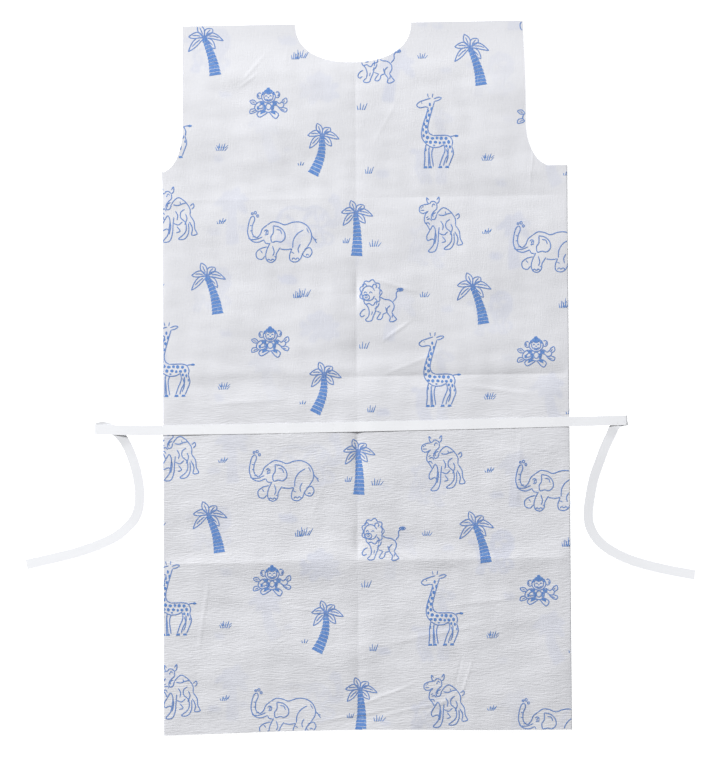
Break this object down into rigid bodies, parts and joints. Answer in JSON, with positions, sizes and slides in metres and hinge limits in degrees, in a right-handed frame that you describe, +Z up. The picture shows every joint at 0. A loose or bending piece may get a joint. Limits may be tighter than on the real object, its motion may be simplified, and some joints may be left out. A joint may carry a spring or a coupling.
{
  "type": "disposable examination gown",
  "caption": "Child's sleeveless disposable examination gown, laid flat, with a scooped neck, cut-away armholes, packing creases that fold, and a flat waist tie.",
  "frame": {"origin": "middle of the gown's body between its side folds and between shoulder and hem, on the underside", "axes": "+X to the viewer's right across the gown, +Y to the neck, +Z up out of the front panel"},
  "size_m": [0.8626, 0.914, 0.001],
  "materials": {
    "printed_tissue": "creped, matte, printed with a blue line pattern",
    "poly_film": "thin translucent film",
    "plain_tissue": "creped, matte",
    "seal_glue": "clear glue line",
    "tie_plastic": "soft gloss ribbon",
    "print_ink": "matte printed ink"
  },
  "bodies": {
    "skirt_section": {"skirt_front_outer_tissue": "printed_tissue", "skirt_front_film": "poly_film", "skirt_front_inner_tissue": "plain_tissue", "skirt_back_left_outer_tissue": "printed_tissue", "skirt_back_left_film": "poly_film", "skirt_back_left_inner_tissue": "plain_tissue", "skirt_back_right_outer_tissue": "printed_tissue", "skirt_back_right_film": "poly_film", "skirt_back_right_inner_tissue": "plain_tissue", "tie_glue_line": "seal_glue", "tie_front_span": "tie_plastic", "tie_fold_left": "tie_plastic", "tie_fold_right": "tie_plastic", "tie_tail_left": "tie_plastic", "tie_tail_right": "tie_plastic"},
    "chest_section": {"chest_front_outer_tissue": "printed_tissue", "chest_front_film": "poly_film", "chest_front_inner_tissue": "plain_tissue", "chest_back_left_outer_tissue": "printed_tissue", "chest_back_left_film": "poly_film", "chest_back_left_inner_tissue": "plain_tissue", "chest_back_right_outer_tissue": "printed_tissue", "chest_back_right_film": "poly_film", "chest_back_right_inner_tissue": "plain_tissue"},
    "yoke_section": {"yoke_front_outer_tissue": "printed_tissue", "yoke_front_film": "poly_film", "yoke_front_inner_tissue": "plain_tissue", "yoke_back_left_outer_tissue": "printed_tissue", "yoke_back_left_film": "poly_film", "yoke_back_left_inner_tissue": "plain_tissue", "yoke_back_right_outer_tissue": "printed_tissue", "yoke_back_right_film": "poly_film", "yoke_back_right_inner_tissue": "plain_tissue", "shoulder_seal_left": "seal_glue", "shoulder_seal_right": "seal_glue"},
    "hem_section": {"hem_front_outer_tissue": "printed_tissue", "hem_front_film": "poly_film", "hem_front_inner_tissue": "plain_tissue", "hem_back_left_outer_tissue": "printed_tissue", "hem_back_left_film": "poly_film", "hem_back_left_inner_tissue": "plain_tissue", "hem_back_right_outer_tissue": "printed_tissue", "hem_back_right_film": "poly_film", "hem_back_right_inner_tissue": "plain_tissue"}
  },
  "joints": [
    {"name": "waist_crease_fold", "type": "hinge", "parent": "skirt_section", "child": "chest_section", "pos_m": [0, 0.002, 0.0082], "axis": [1, 0, 0], "range_deg": [0, 180]},
    {"name": "yoke_crease_fold", "type": "hinge", "parent": "chest_section", "child": "yoke_section", "pos_m": [0, 0.232, 0.0036], "axis": [1, 0, 0], "range_deg": [0, 180]},
    {"name": "hem_crease_fold", "type": "hinge", "parent": "skirt_section", "child": "hem_section", "pos_m": [0, -0.235, 0.0036], "axis": [-1, 0, 0], "range_deg": [0, 180]}
  ]
}
